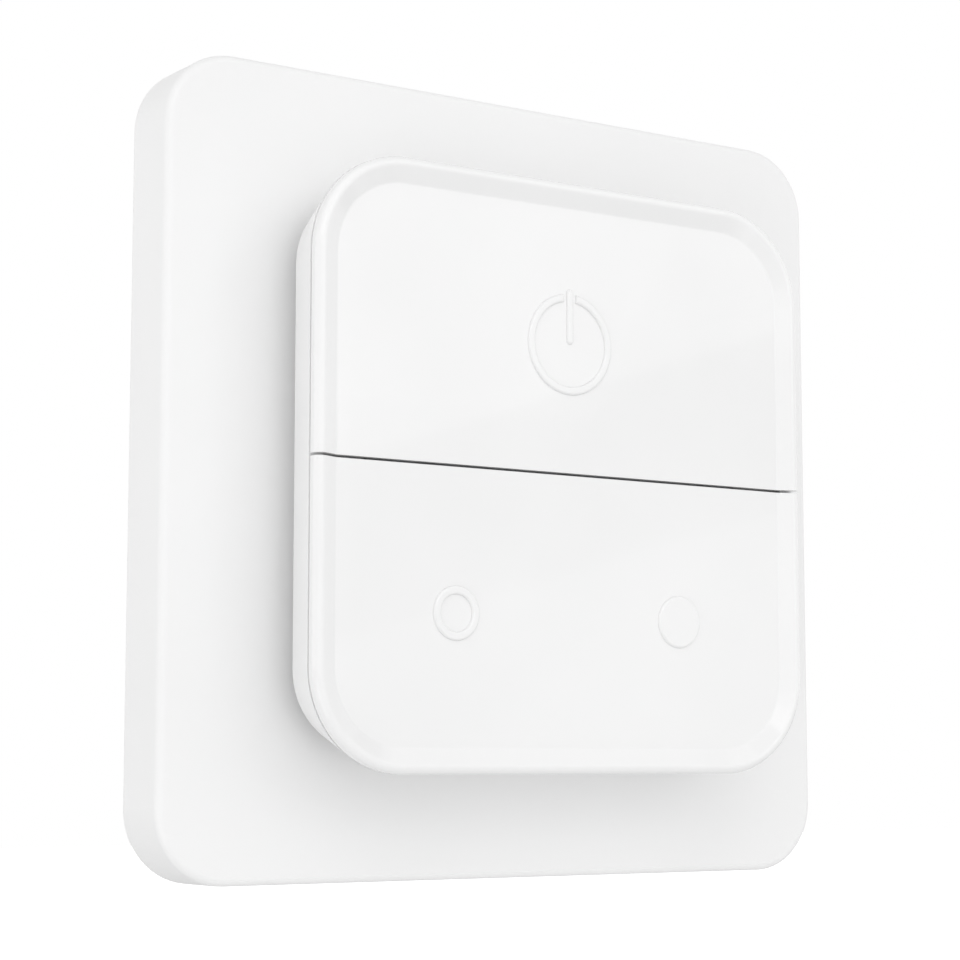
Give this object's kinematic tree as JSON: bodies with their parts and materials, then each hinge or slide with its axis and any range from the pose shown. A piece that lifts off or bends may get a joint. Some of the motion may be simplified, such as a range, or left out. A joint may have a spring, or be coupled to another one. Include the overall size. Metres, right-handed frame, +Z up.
{
  "type": "wireless wall switch",
  "caption": "Square wireless remote wall switch: a glossy dished on/off key above a rocking dimmer key, on a module that pulls off a slim rounded wall frame",
  "frame": {"origin": "centre of the mounting base's back plane, on the wall between the two screw holes", "axes": "+Z up the wall, +Y into the wall, so the keys face -Y, and +X to the right as the keys are seen from the room"},
  "size_m": [0.086, 0.0193, 0.086],
  "materials": {
    "textured_white_abs": "injection moulded ABS with a fine spark-eroded texture",
    "plain_white_abs": "plain moulded ABS, semi-matt",
    "foam_tape": "white acrylic foam tape",
    "zinc_steel": "zinc plated steel blanks",
    "housing_white_abs": "moulded ABS, satin",
    "nickel_magnet": "nickel plated sintered magnet",
    "cell_steel": "nickel plated stainless steel",
    "cell_gasket": "polypropylene sealing ring",
    "black_moulding": "glass filled nylon, black",
    "spring_bronze": "gold flashed phosphor bronze",
    "board_laminate": "green solder mask over glass epoxy",
    "chip_epoxy": "black moulding compound",
    "tinned_steel": "tinned steel sheet",
    "antenna_ceramic": "fired ceramic",
    "capacitor_ceramic": "barium titanate ceramic, tan",
    "switch_plunger": "black nylon",
    "pair_button": "grey moulded ABS",
    "dome_steel": "stainless spring steel, nickel plated",
    "frame_grey": "light grey ABS and polycarbonate blend",
    "black_screw": "black oxide steel",
    "pin_steel": "ground stainless steel",
    "gloss_white_key": "high gloss moulded ABS"
  },
  "bodies": {
    "base": {"cover_frame": "textured_white_abs", "mounting_base": "plain_white_abs", "adhesive_pads": "foam_tape", "keeper_discs": "zinc_steel"},
    "module": {"rear_housing": "housing_white_abs", "housing_skirt": "housing_white_abs", "magnets": "nickel_magnet", "cell_can": "cell_steel", "cell_gasket": "cell_gasket", "cell_cap": "cell_steel", "cell_holder": "black_moulding", "contact_plus": "spring_bronze", "contact_minus": "spring_bronze", "circuit_board": "board_laminate", "radio_chip": "chip_epoxy", "shield_can": "tinned_steel", "crystal": "tinned_steel", "chip_antenna": "antenna_ceramic", "voltage_regulator": "chip_epoxy", "capacitors": "capacitor_ceramic", "pair_switch_body": "black_moulding", "power_dome": "dome_steel", "dim_down_dome": "dome_steel", "dim_up_dome": "dome_steel", "key_frame": "frame_grey", "frame_screws": "black_screw", "power_pin": "pin_steel", "dimmer_pin": "pin_steel"},
    "upper_key": {"power_key": "gloss_white_key"},
    "lower_key": {"dimmer_key": "gloss_white_key"},
    "cell_door": {"battery_door": "housing_white_abs"},
    "pairing_button": {"pair_button": "pair_button"},
    "pairing_plunger": {"pair_switch_plunger": "switch_plunger"}
  },
  "joints": [
    {"name": "module_pull_off", "type": "slide", "parent": "base", "child": "module", "axis": [0, -1, 0], "range_m": [0, 0.03]},
    {"name": "power_key_press", "type": "hinge", "parent": "module", "child": "upper_key", "pos_m": [0, -0.0155, 0.0205], "axis": [1, 0, 0], "range_deg": [0, 0.6], "stiffness_Nm_per_rad": 2.2, "deforming": ["power_dome"]},
    {"name": "dimmer_key_rock", "type": "hinge", "parent": "module", "child": "lower_key", "pos_m": [0, -0.0155, -0.0155], "axis": [0, 0, 1], "range_deg": [-0.38, 0.38], "stiffness_Nm_per_rad": 4.4, "deforming": ["dim_down_dome", "dim_up_dome"]},
    {"name": "battery_door_twist", "type": "hinge", "parent": "module", "child": "cell_door", "pos_m": [0, -0.007, 0], "axis": [0, 1, 0], "range_deg": [0, 35]},
    {"name": "pair_button_press", "type": "slide", "parent": "module", "child": "pairing_button", "axis": [0, -1, 0], "range_m": [0, 0.00025], "stiffness_N_per_m": 2400},
    {"name": "pair_plunger_press", "type": "slide", "parent": "module", "child": "pairing_plunger", "axis": [0, -1, 0], "range_m": [0, 0.00025]}
  ],
  "couplings": [
    {"joint": "pair_plunger_press", "follows": "pair_button_press", "ratio": 1}
  ]
}
